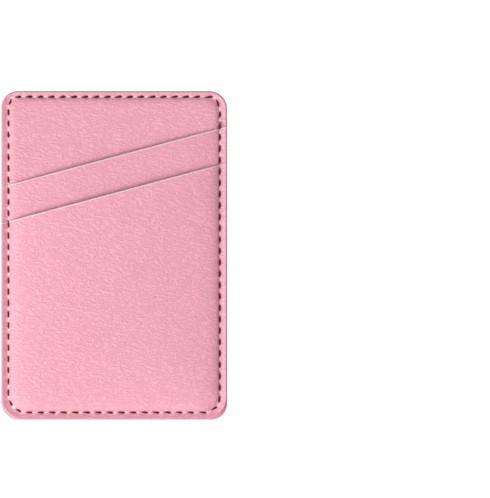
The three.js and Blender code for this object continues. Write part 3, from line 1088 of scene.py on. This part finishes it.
def stitch_cloud(name, height_at, numbers):
    """A mesh of single points, one for each stitch, with its direction and size."""
    starts, ends = points_at(numbers), points_at(np.asarray(numbers) + 1)
    middles, along = (starts + ends) / 2, ends - starts
    lengths = np.linalg.norm(along, axis=1)
    along = along / lengths[:, None]
    lean = np.where(along @ TOWARDS_LOWER_LEFT > 0, LEAN, -LEAN)
    along = np.where((along @ TOWARDS_SHADE < 0)[:, None], -along, along)
    x, y = along.T
    turned_x, turned_y = x * np.cos(lean) - y * np.sin(lean), x * np.sin(lean) + y * np.cos(lean)
    turned = np.column_stack((turned_x, turned_y, np.zeros(len(along))))
    mesh = bpy.data.meshes.new(name)
    places = [(x * MM, y * MM, height_at(x, y) * MM) for x, y in middles]
    mesh.from_pydata(places, [], [])
    mesh.attributes.new("along", "FLOAT_VECTOR", "POINT").data.foreach_set("vector", turned.ravel())
    sizes = lengths * STITCH_COUNT / seam_length
    mesh.attributes.new("size", "FLOAT", "POINT").data.foreach_set("value", sizes)
    made = bpy.data.objects.new(name, mesh)
    bpy.context.collection.objects.link(made)
    return made


def front_height(x, y):
    """Middle of the thread over the groove. A stitch that crosses a mouth bridges the step."""
    steps = (-BRIDGE_REACH, 0, BRIDGE_REACH)
    face = max(seam_floor(x + dx, y + dy) for dx in steps for dy in steps)
    return face - PUCKER + ABOVE_FACE * THREAD


def made_plain(piece, tree, settings, node):
    modifier = piece.modifiers.new(tree.name, "NODES")
    modifier.node_group = tree
    for name, value in settings.items():
        set_input(modifier, name, value)
    evaluated = piece.evaluated_get(bpy.context.evaluated_depsgraph_get())
    mesh = bpy.data.meshes.new_from_object(evaluated)
    piece.modifiers.clear()
    piece.data = mesh
    mesh.polygons.foreach_set("use_smooth", [True] * len(mesh.polygons))
    print(piece.name, "has", sum(len(p.vertices) - 2 for p in mesh.polygons), "triangles")
    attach(piece, "root")
    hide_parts(node)


# %% Needle thread
visible = STITCH_SHOWS * seam_length / STITCH_COUNT
needle_stitches = stitch_cloud("needle_stitches", front_height, np.arange(STITCH_COUNT))
settings = {
    "Thread": THREAD * MM,
    "Length": (visible + STITCH_HIDDEN) * MM,
    "Arch": STITCH_ARCH * MM,
    "Dive": STITCH_DIVE * MM,
    "Turns": 0.9,
    "Unevenness": 0.07,
    "Seed": 4,
    "Material": thread_maroon,
}
made_plain(needle_stitches, STITCH_ROW, settings, "needle_thread")

# %% Bobbin thread, behind
BOBBIN = 0.3
BOBBIN_BELOW = 0.36  # depth of its middle under the leather, as a share of the thread
BOBBIN_ARCH = -0.04
BOBBIN_DIVE = -0.16


def back_height(x, y):
    """Middle of the bobbin thread, under the back panel's lower face."""
    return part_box("back_panel")[0][2] / MM - BOBBIN_BELOW * BOBBIN


bobbin_stitches = stitch_cloud("bobbin_stitches", back_height, np.arange(STITCH_COUNT))
settings_behind = {
    **settings,
    "Thread": BOBBIN * MM,
    "Arch": BOBBIN_ARCH * MM,
    "Dive": BOBBIN_DIVE * MM,
    "Turns": 0.7,
    "Unevenness": 0.04,
    "Seed": 9,
}
made_plain(bobbin_stitches, STITCH_ROW, settings_behind, "bobbin_thread")


# %% [markdown]
# ## Board, adhesive and liner
# These three are thin flat sheets, and their frame meshes already have the right shape, so
# they only need materials. The board is grey millboard with short fibres. The adhesive is a
# milky film, and its liner is smooth off-white paper with a faint mottle.

# %% Materials: board, adhesive film and liner paper
def sheet_material(name, pale, dark, grain_mm, roughness, height_mm, stretch=1.0):
    """A dull sheet whose fibres or mottle have the given size, and may run one way."""
    material, tree, shader = new_material(name)
    place = tree.nodes.new("ShaderNodeTexCoord")
    mapped = new_node(tree, "ShaderNodeMapping")
    scale = 1 / (grain_mm * MM)
    mapped.inputs["Scale"].default_value = (scale, stretch * scale, scale)
    tree.links.new(place.outputs["Object"], mapped.inputs["Vector"])
    fibres = new_node(tree, "ShaderNodeTexNoise", Scale=1.0, Detail=4.0, Roughness=0.6)
    tree.links.new(mapped.outputs[0], fibres.inputs["Vector"])
    colour = colour_mix(tree, ranged(tree, fibres.outputs["Fac"], 0.3, 0.7), dark, pale)
    tree.links.new(colour, shader.inputs["Base Color"])
    shader.inputs["Roughness"].default_value = roughness
    bumped(tree, shader, fibres.outputs["Fac"], height_mm)
    return material


BOARD_COLOURS = (0.40, 0.35, 0.29, 1), (0.25, 0.21, 0.17, 1)
FILM_COLOURS = (0.86, 0.86, 0.83, 1), (0.78, 0.78, 0.75, 1)
PAPER_COLOURS = (0.92, 0.90, 0.83, 1), (0.86, 0.84, 0.76, 1)
plain_sheets = {
    "stiffener_board": sheet_material("grey_board", *BOARD_COLOURS, 0.5, 0.9, 0.05, 0.3),
    "adhesive_sheet": sheet_material("adhesive_film", *FILM_COLOURS, 2.0, 0.35, 0.01),
    "release_liner": sheet_material("liner_paper", *PAPER_COLOURS, 1.2, 0.45, 0.008),
}
for node, material in plain_sheets.items():
    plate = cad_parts[node]
    plate.data.materials.clear()
    plate.data.materials.append(material)
    print(node, "wears", material.name)
